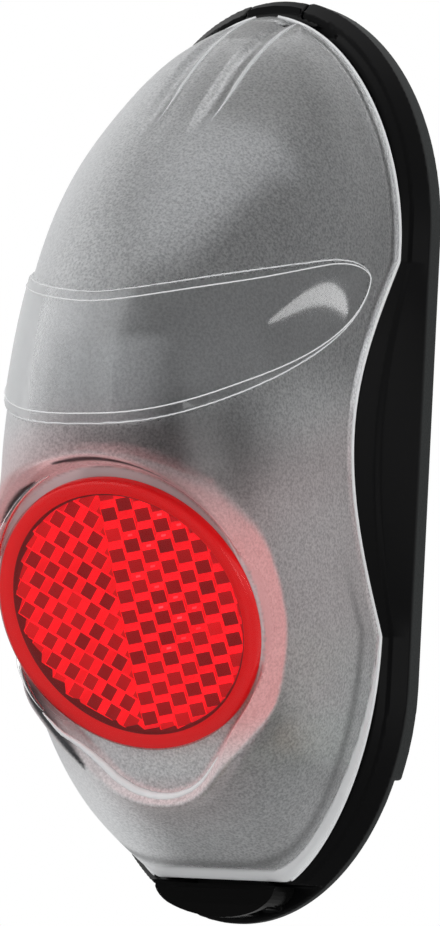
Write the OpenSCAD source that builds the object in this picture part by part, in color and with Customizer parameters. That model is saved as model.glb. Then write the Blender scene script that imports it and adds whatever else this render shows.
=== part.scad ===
// Bicycle rear light for a mudguard.
// A black housing carries the battery carrier and the circuit board.
// A clear domed lens with a round red reflector swings up on a hinge at its top.
// Millimetres. X is right seen from the front, -Y is the way the light shines, +Z is up.
// The origin is on the bolt axis at the back of the rubber pad.

/* [Housing] */
// Width of the housing outline
body_w = 39; // [38.5:0.1:39.5]
// Height of each rounded end of the outline
end_h = 26.5; // [26.2:0.1:26.8]
// Height of the straight sides between the rounded ends
side_h = 47.5; // [47:0.1:48]
// Thickness of the flange behind the parting plane
flange_t = 2.8; // [2.6:0.1:3]
// Thickness of the thin flange below the back box
low_flange_t = 1.4; // [1.2:0.1:1.6]
// Depth of the housing from the parting plane to the pad
housing_d = 8; // [7.8:0.1:8.4]
// Wall thickness of the back box
wall = 1.6; // [1.4:0.1:1.8]
// How far the back box stands in from the outline
box_inset = 3.2; // [3:0.1:3.4]
// Height of the bottom of the back box, from the middle of the outline
box_low = -35; // [-35.5:0.1:-34.8]

/* [Lip and ears] */
// How far the lip stands in front of the parting plane
lip_h = 2.5; // [2.3:0.1:2.5]
// How far the lip stands in from the outline
lip_inset = 0.9; // [0.7:0.1:1.1]
// How far each side ear rises in front of the lip
ear_h = 8.2; // [7.8:0.1:8.4]
// Half the length of a side ear
ear_half = 20; // [19:0.5:20.5]
// Gap along the seam between lens and housing
seam = 0.4; // [0.35:0.05:0.5]

/* [Lens] */
// Half the width of the lens at its rim
lens_w = 17.6; // [17.4:0.1:17.7]
// Wall thickness of the lens
lens_wall = 2; // [1.8:0.1:2.2]
// How far the smooth band stands proud of the dome
band_h = 0.5; // [0.3:0.1:0.7]
// Depth of each scalloped flute
flute_d = 0.9; // [0.6:0.1:1.1]
// Squareness of the dome section above the middle
round_top = 2.5; // [2.4:0.1:2.6]
// Squareness of the dome section below the middle
round_low = 3.7; // [3.6:0.1:3.8]

/* [Reflector] */
// Radius of the reflector
refl_r = 15.2; // [15:0.1:15.3]
// Lean of the reflector, its top forward
refl_tilt = 27.5; // [27:0.5:28]
// Height of the reflector middle, from the middle of the outline
refl_z = -20.2; // [-20.4:0.1:-20]
// Distance of the reflector face in front of the parting plane
refl_d = 26.8; // [26.6:0.1:27]
// Depth of the pocket floor behind the reflector face
refl_deep = 1.4; // [1.3:0.1:1.6]

/* [Hinge and latch] */
// Radius of the hinge pins of the lens
hinge_pin_r = 1; // [0.9:0.05:1.1]
// Radial clearance of a pin in its bore
pin_clear = 0.05; // [0.04:0.01:0.08]
// Radius of the hinge barrel
barrel_r = 2.2; // [2.1:0.05:2.2]
// Half the width of the latch tongue
tongue_w = 7.3; // [7.1:0.1:7.5]
// Radius of the latch pivot
latch_pin_r = 0.8; // [0.75:0.05:0.85]

/* [Batteries] */
// Radius of a cell
cell_r = 5.25; // [5.1:0.05:5.25]
// Length of a cell with its nub
cell_l = 44.5; // [44:0.1:44.5]
// Clearance between a cell and the carrier
cell_clear = 0.2; // [0.15:0.05:0.25]

/* [Mounting] */
// Radius of the mounting bolt
bolt_r = 2.5; // [2.4:0.05:2.5]
// Length of the bolt behind the pad
bolt_l = 14; // [12:0.5:18]
// Radius of the plain neck of the bolt inside the housing and the pad
neck_r = 2.9; // [2.8:0.05:3]
// Thickness of the rubber pad
pad_t = 2; // [1.8:0.1:2.2]
// Spacing of the pad ribs
rib_pitch = 2.6; // [2.5:0.1:2.7]
// Radius of the peg that stops the light turning
peg_r = 1.5; // [1.4:0.05:1.6]

/* [Hidden] */
// Height of the bolt axis, from the middle of the outline
bolt_z = -10;
// Middles of the rounded ends of the outline
top_c = 23;
low_c = top_c - side_h;
// Rubber pad: gaps between its ribs, and the ribs' thickness, height and overhang
ribs = 9;
rib_t = 1.3;
rib_h = 0.8;
rib_over = 0.5;
pad_w = body_w / 2 - box_inset - 0.7;
pad_half = ribs / 2 * rib_pitch + rib_t / 2 + 0.05;
// Lens rim in front of the parting plane, and its flat bottom
rim_d = lip_h + seam;
lens_low = -46.4;
// Hinge axis of the lens, and the front of the housing beside it
hinge_y = 1.6;
hinge_z = 46.9;
hinge_front = -lip_h + 0.8;
// Latch pivot, and the top of the tongue
latch_y = -1.7;
latch_z = -48.3;
tongue_top = lens_low - 0.5;
// Depth of the dome at a few heights, top to bottom
dome = [[47.3, 2.9], [44.5, 8.2], [41, 13.4], [35, 19.7], [27, 27.2], [17, 34.2], [7, 37.4],
    [-5, 36.4], [-17, 31.6], [-29, 24.4], [-39, 16.2], [-46.4, 5]];
// Half sizes of the raised and sunk floor around the reflector
floor_w = 15.9;
floor_h = 19.6;
floor_n = 2.45;
// Two flutes at the top of the dome
flute_x = 3.3;
flute_r = 1.6;
// Smooth band across the dome: angle and height of its tips, and how far its lower edge drops
band_angle = 79;
band_tip = 17.1;
band_drop = 18.25;
// Cells
cell_x = 5.55;
cell_y = -4.5;
cell_low = -16.3;
// Battery carrier, with room for the contacts below and above the cells
contact_room_low = 2.7;
contact_room_top = 6.3;
carrier_w = 12;
carrier_low = cell_low - contact_room_low;
carrier_top = cell_low + cell_l + contact_room_top;
carrier_screw_x = 9.2;
carrier_screw_z = carrier_top - 7.5;
carrier_back = 2.4;
carrier_front = -7;
// Board
board_y = 0.6;
board_t = 1.6;
board_low = -33;
board_top = -19;
board_screw_x = 9.2;
board_screw_z = -26;

// Moves a piece drawn about the middle of the outline into the part's frame
module placed() {
    translate([0, -housing_d - pad_t, -bolt_z]) children();
}

// Points of an elliptical arc in the XZ plane
function arc_points(w, h, mid, from, to, n) =
    [for (i = [0:n]) let (a = from + (to - from) * i / n) [w * cos(a), mid + h * sin(a)]];

// Outline of the housing, set in by a distance
function outline(inset) = concat(
    arc_points(body_w / 2 - inset, end_h - inset, top_c, 0, 180, 28),
    arc_points(body_w / 2 - inset, end_h - inset, low_c, 180, 360, 28));

// A flat XZ shape made solid between two values of Y
module slab(front, back) {
    translate([0, back, 0]) rotate([90, 0, 0]) linear_extrude(back - front) children();
}

// The outline made solid between two values of Y
module outline_slab(inset, front, back) {
    slab(front, back) polygon(outline(inset));
}

// Box from its low and high corners
module span(low, high) {
    translate(low) cube(high - low);
}

// Box mirrored to both sides
module span_pair(low, high) {
    span(low, high);
    mirror([1, 0, 0]) span(low, high);
}

// Cylinder along X between two values of X
module bar_x(r, x0, x1, y, z) {
    translate([x0, y, z]) rotate([0, 90, 0]) cylinder(r = r, h = x1 - x0, $fn = 48);
}

// Cylinder along Y between two values of Y
module bar_y(r, y0, y1, x, z) {
    translate([x, y0, z]) rotate([-90, 0, 0]) cylinder(r = r, h = y1 - y0, $fn = 48);
}

// A YZ shape made solid across the whole width; points are given as depth, height
module across(half) {
    rotate([90, 0, 90]) translate([0, 0, -half]) linear_extrude(2 * half) scale([-1, 1]) children();
}

// Rise of the side ear at a height
function ear_rise(z) = abs(z) < ear_half ? ear_h * cos(90 * z / ear_half) : 0;

// Everything behind the curved parting line, moved forward by a distance
module behind_parting(forward) {
    n = 24;
    curve = [for (i = [0:n]) let (z = -ear_half + 2 * ear_half * i / n) [forward + ear_rise(z), z]];
    across(30) polygon(concat([[-10, -60], [forward, -60]], curve, [[forward, 60], [-10, 60]]));
}

// Rectangle with a round-cornered top
module tombstone(half, low, top, r) {
    translate([-half, low]) square([2 * half, top - r - low]);
    translate([-half + r, low]) square([2 * half - 2 * r, top - low]);
    for (s = [-1, 1]) translate([s * (half - r), top - r]) circle(r = r, $fn = 64);
}

// Housing

module flange() {
    difference() {
        outline_slab(0, 0, flange_t);
        outline_slab(box_inset + 0.2, -1, flange_t + 1);
        span([-30, low_flange_t, -60], [30, flange_t + 1, box_low]);
    }
    intersection() {
        outline_slab(0, 0, low_flange_t);
        span([-30, -1, -60], [30, flange_t, box_low + wall]);
    }
}

module back_box() {
    difference() {
        intersection() {
            outline_slab(box_inset, low_flange_t - 0.2, housing_d);
            span([-30, 0, box_low], [30, housing_d + 1, 60]);
        }
        intersection() {
            outline_slab(box_inset + wall, -1, housing_d - wall);
            span([-30, -2, box_low + wall], [30, housing_d, 60]);
        }
    }
}

module lip() {
    difference() {
        outline_slab(lip_inset, -lip_h, 0.5);
        outline_slab(box_inset + 0.2, -lip_h - 1, 1);
        span([-30, -lip_h - 1, -60], [30, 1, lens_low - 0.2]);
    }
}

module ears() {
    intersection() {
        difference() {
            outline_slab(1.95, -lip_h - ear_h - 1, 0);
            outline_slab(4, -lip_h - ear_h - 2, 1);
        }
        behind_parting(lip_h);
        span([-30, -20, -ear_half], [30, 1, ear_half]);
    }
}

module hinge_block() {
    intersection() {
        outline_slab(0.2, hinge_front, 5.4);
        span([-6.8, hinge_front, 42.8], [6.8, 5.4, 50]);
    }
}

module hinge_space() {
    span([-3.55, -8, 43.8], [3.55, hinge_y + barrel_r + 0.4, 52]);
    span([-8, -8, 44.4], [8, hinge_front, 52]);
    for (s = [-1, 1]) {
        bar_x(hinge_pin_r + pin_clear, min(0, s * 5.3), max(0, s * 5.3), hinge_y, hinge_z);
    }
}

module screw_posts() {
    for (s = [-1, 1]) {
        bar_y(2.2, board_y + board_t, housing_d - wall + 0.2, s * board_screw_x, board_screw_z);
        bar_y(2.4, carrier_back, housing_d - wall + 0.2, s * carrier_screw_x, carrier_screw_z);
    }
}

module bolt_boss() {
    bar_y(6.6, 3.2, housing_d - wall + 0.2, 0, bolt_z);
}

module bolt_pocket() {
    translate([0, 3, bolt_z]) rotate([-90, 0, 0]) cylinder(r = 4.85, h = housing_d - wall - 3, $fn = 6);
    bar_y(neck_r + 0.08, 3, housing_d + 1, 0, bolt_z);
}

module latch_lugs() {
    difference() {
        span_pair([3.5, -3, latch_z - 1.1], [5.5, 0.4, latch_z + 1.1]);
        bar_x(latch_pin_r + pin_clear, -9, 9, latch_y, latch_z);
    }
}

module housing_base() {
    color([0.05, 0.05, 0.055]) placed() {
        difference() {
            union() {
                flange();
                back_box();
                lip();
                ears();
                hinge_block();
                screw_posts();
                bolt_boss();
                latch_lugs();
                bar_y(peg_r, housing_d - 0.6, housing_d + pad_t + 3, 0, bolt_z + 20);
            }
            hinge_space();
            bolt_pocket();
            for (s = [-1, 1]) {
                bar_y(0.9, 0, housing_d - 1, s * board_screw_x, board_screw_z);
                bar_y(0.9, 0, housing_d - 1, s * carrier_screw_x, carrier_screw_z);
            }
            span([-3.7, 3, box_low - 1], [3.7, 6.2, box_low + wall + 1]);
        }
    }
}

// Rubber pad with ribs across its back

module mudguard_pad() {
    color([0.12, 0.12, 0.125]) placed() difference() {
        union() {
            span([-pad_w, housing_d, bolt_z - pad_half], [pad_w, housing_d + pad_t - rib_h, bolt_z + pad_half]);
            for (i = [0:ribs]) {
                mid = bolt_z + (i - ribs / 2) * rib_pitch;
                span([-pad_w - rib_over, housing_d + 0.6, mid - rib_t / 2],
                    [pad_w + rib_over, housing_d + pad_t, mid + rib_t / 2]);
            }
        }
        bar_y(neck_r + 0.3, housing_d - 1, housing_d + pad_t + 1, 0, bolt_z);
    }
}

module mounting_bolt() {
    color([0.75, 0.76, 0.78]) placed() {
        translate([0, 3.3, bolt_z]) rotate([-90, 0, 0])
            cylinder(r = 4.62, h = housing_d - wall - 3.35, $fn = 6);
        bar_y(neck_r, 5, housing_d + pad_t, 0, bolt_z);
        bar_y(bolt_r, housing_d, housing_d + pad_t + bolt_l, 0, bolt_z);
    }
}

// Battery carrier, cover, cells and contacts

module battery_carrier() {
    color([0.16, 0.16, 0.17]) placed() difference() {
        slab(carrier_front, carrier_back) tombstone(carrier_w, carrier_low, carrier_top, 6);
        for (s = [-1, 1]) {
            translate([s * cell_x, cell_y, carrier_low + 1.2])
                cylinder(r = cell_r + cell_clear, h = carrier_top - carrier_low - 2.4, $fn = 64);
        }
        slab(carrier_front - 1, cell_y) tombstone(carrier_w - 1.05, carrier_low + 1.2, carrier_top - 1.2, 5);
        for (s = [-1, 1]) {
            bar_y(1.1, 0.4, carrier_back + 1, s * carrier_screw_x, carrier_screw_z);
            bar_y(1.5, -3, 1.2, s * carrier_screw_x, carrier_screw_z);
        }
    }
}

module battery_cover() {
    color([0.72, 0.73, 0.74]) placed() difference() {
        slab(-11.6, carrier_front - 0.05) tombstone(carrier_w, carrier_low, carrier_top, 9);
        slab(-10.4, carrier_front) tombstone(carrier_w - 1.05, carrier_low + 1.2, carrier_top - 1.2, 8);
    }
}

// One cell standing on its flat end
module cell() {
    cylinder(r = cell_r, h = cell_l - 1, $fn = 64);
    cylinder(r = 1.9, h = cell_l, $fn = 48);
}

module battery_left() {
    color([0.2, 0.35, 0.6]) placed() translate([-cell_x, cell_y, cell_low]) cell();
}

module battery_right() {
    color([0.2, 0.35, 0.6]) placed()
        translate([cell_x, cell_y, cell_low + cell_l]) rotate([180, 0, 0]) cell();
}

// A contact for both cells: two discs on a strap, each with a cone reaching to its cell
module contact(reach) {
    span([-cell_x, cell_y - 2.2, 0], [cell_x, cell_y - 0.6, 0.4]);
    for (s = [-1, 1]) translate([s * cell_x, cell_y, 0]) {
        cylinder(r = 2.4, h = 0.4, $fn = 48);
        translate([0, 0, 0.2]) cylinder(r1 = 2.3, r2 = 1.6, h = reach - 0.2, $fn = 48);
    }
}

module contact_top() {
    color([0.8, 0.8, 0.78]) placed()
        translate([0, 0, carrier_top - 1.25]) mirror([0, 0, 1])
            contact(carrier_top - 1.3 - cell_low - cell_l);
}

module contact_bottom() {
    color([0.8, 0.8, 0.78]) placed()
        translate([0, 0, carrier_low + 1.25]) contact(cell_low - carrier_low - 1.3);
}

// A screw pointing back, its head resting at a value of Y
module screw(y, head_r, shank_l) {
    difference() {
        bar_y(head_r, y - 0.8, y, 0, 0);
        span([-0.3, y - 1, -head_r], [0.3, y - 0.5, head_r]);
    }
    bar_y(0.85, y - 0.2, y + shank_l, 0, 0);
}

module carrier_screws() {
    color([0.7, 0.7, 0.72]) placed()
        for (s = [-1, 1]) translate([s * carrier_screw_x, 0, carrier_screw_z]) screw(1.15, 1.35, 4.5);
}

// Circuit board and what is on it

module circuit_board() {
    color([0.1, 0.35, 0.2]) placed() difference() {
        span([-11.5, board_y, board_low], [11.5, board_y + board_t, board_top]);
        for (s = [-1, 1]) bar_y(1.1, 0, 4, s * board_screw_x, board_screw_z);
    }
}

module main_led() {
    color([0.95, 0.93, 0.8]) placed() {
        span([-1.75, board_y - 1, -23.75], [1.75, board_y - 0.02, -20.25]);
        translate([0, board_y - 0.9, -22]) rotate([90, 0, 0]) cylinder(r1 = 1.4, r2 = 0.9, h = 1.1, $fn = 48);
    }
}

module driver_chip() {
    color([0.08, 0.08, 0.08]) placed() span([-2.5, board_y - 1.5, -30.5], [2.5, board_y - 0.02, -26.5]);
}

module board_parts() {
    color([0.75, 0.65, 0.45]) placed() {
        for (x = [-6, 6]) span([x - 0.8, board_y - 0.9, -23.5], [x + 0.8, board_y - 0.02, -20.5]);
        bar_y(2, board_y - 4.5, board_y - 0.02, -6, -30);
        span([4.6, board_y - 1.6, -32], [8, board_y - 0.02, -29]);
    }
}

module tact_switch() {
    color([0.3, 0.3, 0.32]) placed() {
        span([-3, board_y + board_t + 0.02, -30.4], [3, 6, -26.8]);
        translate([0, 4.4, -31.1]) cylinder(r = 1.2, h = 1, $fn = 48);
    }
}

module board_screws() {
    color([0.7, 0.7, 0.72]) placed()
        for (s = [-1, 1]) translate([s * board_screw_x, 0, board_screw_z]) screw(board_y - 0.02, 1.7, 4.5);
}

// Clear guide that leads the light from the lamp to the smooth band, on its bracket

module light_guide() {
    color([0.85, 0.9, 0.92]) placed() {
        across(2.4) polygon([[2.4, -24], [2.4, -20.2], [12.3, -19.9], [12.3, 9], [15.3, 9], [15.3, -20.4],
            [13, -22.2]]);
        intersection() {
            translate([0, 4, 0]) cylinder(r = 31, h = 9, $fn = 96);
            difference() {
                span([-11.5, -40, 0], [11.5, -14, 9]);
                translate([0, 4, -1]) cylinder(r = 28, h = 12, $fn = 96);
            }
        }
        span([-2.4, -25, 0], [2.4, -12.3, 9]);
    }
}

module guide_bracket() {
    color([0.7, 0.7, 0.7]) placed() {
        span_pair([2.7, -17, 2], [5.3, -11.65, 9.2]);
        span([-5.3, -17, 9.1], [5.3, -11.65, 10.6]);
    }
}

// Lens

// Half width of the dome at a height
function dome_w(z) = z > 0
    ? lens_w * pow(1 - pow(min(1, max(0, (z - 21.7) / 25.7)), 1.85), 1 / 1.85)
    : lens_w * sqrt(1 - pow(max(0, (-20 - z) / 30), 2));

// Slope of the depth profile at one of its points
function dome_slope(i) = let (a = dome[max(0, i - 1)], b = dome[min(len(dome) - 1, i + 1)])
    (b[1] - a[1]) / (b[0] - a[0]);

// Depth of the dome on its middle line
function dome_d(z) = let (
    i = max([for (k = [0:len(dome) - 2]) dome[k][0] >= z ? k : 0]),
    h = dome[i + 1][0] - dome[i][0],
    t = (z - dome[i][0]) / h)
    dome[i][1] * (2 * t * t * t - 3 * t * t + 1) + h * dome_slope(i) * (t * t * t - 2 * t * t + t)
    + dome[i + 1][1] * (3 * t * t - 2 * t * t * t) + h * dome_slope(i + 1) * (t * t * t - t * t);

// Squareness of the dome section at a height
function dome_n(z) = round_low + (round_top - round_low) / (1 + exp(-(z + 2) / 5));

// A point of the dome at a height and an angle across it, moved out by a distance
function dome_point(z, a, out) = let (n = dome_n(z)) [
    sign(sin(a)) * (dome_w(z) + out) * pow(abs(sin(a)), 2 / n),
    -(dome_d(z) + out) * pow(max(0, cos(a)), 2 / n),
    z];

// Solid dome between two heights, moved out by a distance
module dome_solid(low, top, out, rows, cols) {
    row = cols + 1;
    points = [for (i = [0:rows], j = [0:cols])
        let (t = i / rows, e = 0.5 - 0.5 * cos(180 * t))
        dome_point(low + (top - low) * (0.5 * t + 0.5 * e), -90 + 180 * j / cols, out)];
    sides = [for (i = [0:rows - 1], j = [0:cols - 1])
        [i * row + j, (i + 1) * row + j, (i + 1) * row + j + 1, i * row + j + 1]];
    back = [for (i = [0:rows - 1]) [i * row + cols, (i + 1) * row + cols, (i + 1) * row, i * row]];
    caps = [[for (j = [0:cols]) j], [for (j = [cols:-1:0]) rows * row + j]];
    polyhedron(points, concat(sides, back, caps), convexity = 6);
}

// Frame of the reflector: X across, Y up its face, Z out of its face
module on_reflector() {
    translate([0, -refl_d, refl_z]) rotate([90 + refl_tilt, 0, 0]) children();
}

// Rounded outline of the floor around the reflector
module floor_shape(grow) {
    n = 48;
    polygon([for (i = [0:n - 1]) let (a = 360 * i / n) [
        sign(cos(a)) * (floor_w + grow) * pow(abs(cos(a)), 2 / floor_n),
        sign(sin(a)) * (floor_h + grow) * pow(abs(sin(a)), 2 / floor_n)]]);
}

// Heights of the lower and the upper edge of the smooth band at an angle across the dome
function band_low(a) = band_tip - band_drop * pow(1 - pow(min(1, abs(a) / band_angle), 1.8), 1 / 1.8);
function band_up(a) = 12.6 + 6 * pow(abs(a) / 68, 1.35) - 2.85 * pow(max(0, (abs(a) - 62) / 17), 2.84);

// Point of the smooth band: part of the way across, part of the way up, moved out by a distance
function band_point(u, v, out) = let (a = band_angle * sin(88.5 * u), low = band_low(a))
    dome_point(low + (band_up(a) - low) * v, a, out);

// Smooth band as a curved plate that is sunk into the dome and stands proud of it
module band_plate() {
    cols = 36;
    rows = 4;
    row = rows + 1;
    sheet = (cols + 1) * row;
    points = [for (out = [band_h, -0.7], i = [0:cols], k = [0:rows])
        band_point(2 * i / cols - 1, k / rows, out)];
    front = [for (i = [0:cols - 1], k = [0:rows - 1])
        [i * row + k, i * row + k + 1, (i + 1) * row + k + 1, (i + 1) * row + k]];
    back = [for (f = front) [sheet + f[3], sheet + f[2], sheet + f[1], sheet + f[0]]];
    long_edges = [for (i = [0:cols - 1], k = [0, rows]) let (p = i * row + k, q = p + row)
        k == 0 ? [p, q, sheet + q, sheet + p] : [q, p, sheet + p, sheet + q]];
    tips = [for (k = [0:rows - 1], e = [0, cols]) let (p = e * row + k, q = p + 1)
        e == 0 ? [q, p, sheet + p, sheet + q] : [p, q, sheet + q, sheet + p]];
    polyhedron(points, concat(front, back, long_edges, tips), convexity = 6);
}

// Two grooves that follow the top of the dome
module flutes() {
    ring = 44.4 + flute_r - flute_d;
    for (s = [-1, 1]) translate([s * flute_x, 14.2, 6.4]) rotate([180, -90, 0]) rotate([0, 0, 20])
        rotate_extrude(angle = 33, $fn = 120) translate([ring, 0]) circle(r = flute_r, $fn = 20);
}

module lens_outer() {
    difference() {
        union() {
            dome_solid(lens_low, 47.2, 0, 30, 26);
            band_plate();
            intersection() {
                on_reflector() translate([0, 0, -14]) linear_extrude(14 - refl_deep) floor_shape(0);
                span([-17.3, -60, lens_low], [17.3, -rim_d, 40]);
            }
        }
        on_reflector() translate([0, 0, -refl_deep]) linear_extrude(40) floor_shape(0);
        flutes();
    }
}

module lens_hollow() {
    difference() {
        dome_solid(lens_low + lens_wall, 45.2, -lens_wall, 26, 22);
        on_reflector() translate([0, 0, -refl_deep - lens_wall]) linear_extrude(40) floor_shape(1.6);
        span([-4, -8, 43], [4, 0, 50]);
    }
}

module lens() {
    color([0.85, 0.86, 0.87, 0.6]) placed() difference() {
        lens_outer();
        lens_hollow();
        behind_parting(rim_d);
        on_reflector() translate([0, 0, -8]) cylinder(r = 13.6, h = 8, $fn = 64);
        lug_arm(0.05);
    }
}

// Arm of the hinge lug that is let into the top of the lens
module lug_arm(grow) {
    span([-3.2 - grow, -4.4 - grow, 44.2 - grow], [3.2 + grow, hinge_y, 45.8 + grow]);
}

module hinge_lug() {
    color([0.06, 0.06, 0.065]) placed() {
        bar_x(barrel_r, -3.2, 3.2, hinge_y, hinge_z);
        bar_x(hinge_pin_r, -5, 5, hinge_y, hinge_z);
        lug_arm(0);
        intersection() {
            outline_slab(0.9, hinge_front, hinge_y);
            span([-3.2, hinge_front, 45], [3.2, hinge_y, 49]);
        }
    }
}

// Round reflector with its prism field behind the face, closed by a backing plate

module reflector() {
    color([0.8, 0.05, 0.06]) placed() on_reflector() {
        translate([0, 0, -refl_deep]) cylinder(r = refl_r, h = refl_deep, $fn = 96);
        translate([0, 0, -3]) cylinder(r = 13.3, h = 3 - refl_deep + 0.1, $fn = 96);
    }
}

module reflector_backing() {
    color([0.85, 0.85, 0.85]) placed() on_reflector()
        translate([0, 0, -3.95]) cylinder(r = 13.3, h = 0.9, $fn = 96);
}

// Latch tongue under the lens

module latch_tongue() {
    color([0.06, 0.06, 0.065]) placed() {
        difference() {
            intersection() {
                across(9) polygon([[0.4, tongue_top], [4.6, tongue_top], [4.9, tongue_top - 0.5],
                    [4.6, -49], [3.6, -50.4], [0.4, -50.4]]);
                slab(-6, 0) polygon(concat([[tongue_w, tongue_top], [-tongue_w, tongue_top]],
                    arc_points(tongue_w, 3.4, tongue_top - 0.1, 180, 360, 24)));
            }
            span_pair([3.2, -3.4, -52], [5.8, 1, -46]);
        }
        bar_x(latch_pin_r, -6, 6, latch_y, latch_z);
    }
}

// Push button in the underside of the back box

module switch_button() {
    color([0.2, 0.2, 0.21]) placed() {
        span([-3.5, 3.2, box_low - 1.4], [3.5, 6, box_low + wall + 0.6]);
        span([-4.6, 3.2, box_low + wall + 0.05], [4.6, 6, box_low + wall + 0.8]);
    }
}

housing_base();
mudguard_pad();
mounting_bolt();
battery_carrier();
battery_cover();
battery_left();
battery_right();
contact_top();
contact_bottom();
carrier_screws();
circuit_board();
main_led();
driver_chip();
board_parts();
tact_switch();
board_screws();
light_guide();
guide_bracket();
lens();
hinge_lug();
reflector();
reflector_backing();
latch_tongue();
switch_button();
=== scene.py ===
"""Looks of the bicycle rear light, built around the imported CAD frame.

Shapes are worked out in millimetres about the middle of the housing outline, as in the part's source:
x to the right seen from the front, d forward from the parting plane, z up. placed() takes them to the row
frame in metres.
"""

import math

import bpy
import numpy as np
from mathutils import Matrix, Vector


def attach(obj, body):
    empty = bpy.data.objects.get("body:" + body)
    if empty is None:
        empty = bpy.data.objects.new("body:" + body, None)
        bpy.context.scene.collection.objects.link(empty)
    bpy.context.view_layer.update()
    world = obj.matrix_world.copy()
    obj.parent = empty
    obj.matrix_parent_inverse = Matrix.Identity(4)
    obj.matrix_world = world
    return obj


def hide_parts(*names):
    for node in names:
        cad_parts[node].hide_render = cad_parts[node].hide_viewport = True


MM = 0.001
# Middle of the housing outline in the row frame, in millimetres
MIDDLE = np.array([0.0, -10.0, 10.0])

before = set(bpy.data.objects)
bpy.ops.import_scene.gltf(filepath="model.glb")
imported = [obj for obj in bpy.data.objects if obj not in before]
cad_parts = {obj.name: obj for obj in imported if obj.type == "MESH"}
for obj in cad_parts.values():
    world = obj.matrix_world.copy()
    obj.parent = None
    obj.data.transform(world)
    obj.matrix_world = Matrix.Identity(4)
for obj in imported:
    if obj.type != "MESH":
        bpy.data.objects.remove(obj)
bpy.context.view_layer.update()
scene = bpy.context.scene
scene.view_settings.view_transform = "Standard"
scene.cycles.denoising_prefilter = "NONE"


def placed(points):
    """Points (x, d, z) about the middle of the outline, in mm, as row-frame points in metres."""
    p = np.asarray(points, float)
    return (np.stack([p[..., 0], -p[..., 1], p[..., 2]], -1) + MIDDLE) * MM


# Smooth combinations of distance fields


def smooth_max(a, b, k):
    h = np.maximum(k - np.abs(a - b), 0) / k
    return np.maximum(a, b) + h * h * k / 4


def smooth_min(a, b, k):
    return -smooth_max(-a, -b, k)


def smooth_step(x, low, high):
    t = np.clip((x - low) / (high - low), 0, 1)
    return t * t * (3 - 2 * t)


# The lens as a distance field

LENS_W = 17.6
LENS_WALL = 2.0
LENS_LOW = -46.4
RIM_D = 2.9
EAR_H, EAR_HALF = 8.2, 20.0
# Depth of the dome at a few heights, top to bottom
DOME = np.array(
    [
        [47.3, 2.9], [44.5, 8.2], [41, 13.4], [35, 19.7], [27, 27.2], [17, 34.2],
        [7, 37.4], [-5, 36.4], [-17, 31.6], [-29, 24.4], [-39, 16.2], [-46.4, 5],
    ]
)  # fmt: skip
# Reflector: middle, lean, radius, and the floor around it
REFL_D, REFL_Z, REFL_TILT = 26.8, -20.2, math.radians(27.5)
REFL_R, PRISM_R, FLOOR_Q = 15.2, 13.3, -1.4
# The floor is a big circle, a little taller above, with a small one below it; a lip runs round it
FLOOR_R, FLOOR_RISE, END_R, END_DROP = 15.6, 0.95, 7.2, 12.9
LIP_T, LIP_RISE, LIP_DRAFT = 0.9, 1.1, 0.12
# Smooth band
BAND_ANGLE, BAND_TIP, BAND_DROP, BAND_H = 79.0, 17.1, 18.25, 0.44
# Flutes
FLUTE_X, FLUTE_R, FLUTE_DEPTH, FLUTE_RING = 3.3, 1.6, 0.9, 44.4
FLUTE_MID_D, FLUTE_MID_Z, FLUTE_SINK = -14.2, 6.4, 0.12


def dome_depth(z):
    """Depth of the dome on its middle line: a smooth curve through DOME."""
    heights, depths = DOME[::-1, 0], DOME[::-1, 1]
    last = len(heights) - 1
    index = np.arange(len(heights))
    after, before = np.minimum(index + 1, last), np.maximum(index - 1, 0)
    slopes = (depths[after] - depths[before]) / (heights[after] - heights[before])
    i = np.clip(np.searchsorted(heights, z) - 1, 0, last - 1)
    h = heights[i + 1] - heights[i]
    t = (z - heights[i]) / h
    return (
        depths[i] * (2 * t**3 - 3 * t**2 + 1)
        + h * slopes[i] * (t**3 - 2 * t**2 + t)
        + depths[i + 1] * (3 * t**2 - 2 * t**3)
        + h * slopes[i + 1] * (t**3 - t**2)
    )


def dome_width(z):
    """Half width of the dome at a height."""
    high = np.clip((z - 21.7) / 25.7, 0, 1)
    low = np.clip((-20 - z) / 30, 0, 1)
    top = LENS_W * (1 - high**1.85) ** (1 / 1.85)
    return np.where(z > 0, top, LENS_W * np.sqrt(1 - low**2))


def dome_power(z):
    """Squareness of the dome section at a height."""
    return 3.7 - 1.2 / (1 + np.exp(-(z + 2) / 5))


def dome_level(x, d, z):
    """0 on the dome, below 0 inside it; its size is a share of the section."""
    z = np.clip(z, LENS_LOW - 2, 47.3)
    n = dome_power(z)
    across = (np.abs(x) / np.maximum(dome_width(z), 0.4)) ** n
    along = (np.maximum(d, 0) / np.maximum(dome_depth(z), 0.4)) ** n
    return (across + along) ** (1 / n) - 1


def dome_distance(x, d, z):
    """About the distance to the dome in mm, below 0 inside."""
    e = 0.02
    level = dome_level(x, d, z)
    gx = (dome_level(x + e, d, z) - dome_level(x - e, d, z)) / (2 * e)
    gd = (dome_level(x, d + e, z) - dome_level(x, d - e, z)) / (2 * e)
    gz = (dome_level(x, d, z + e) - dome_level(x, d, z - e)) / (2 * e)
    slope = np.sqrt(gx**2 + gd**2 + gz**2)
    distance = level / np.maximum(slope, 0.005)
    return smooth_max(distance, z - 47.2, 0.3)


def dome_angle(x, d, z):
    """Angle across the dome in degrees, 0 at the middle line."""
    n = dome_power(z)
    across = (np.abs(x) / dome_width(np.minimum(z, 47))) ** (n / 2)
    along = (np.maximum(d, 0) / dome_depth(np.minimum(z, 47))) ** (n / 2)
    return np.degrees(np.arctan2(across, along))


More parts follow.
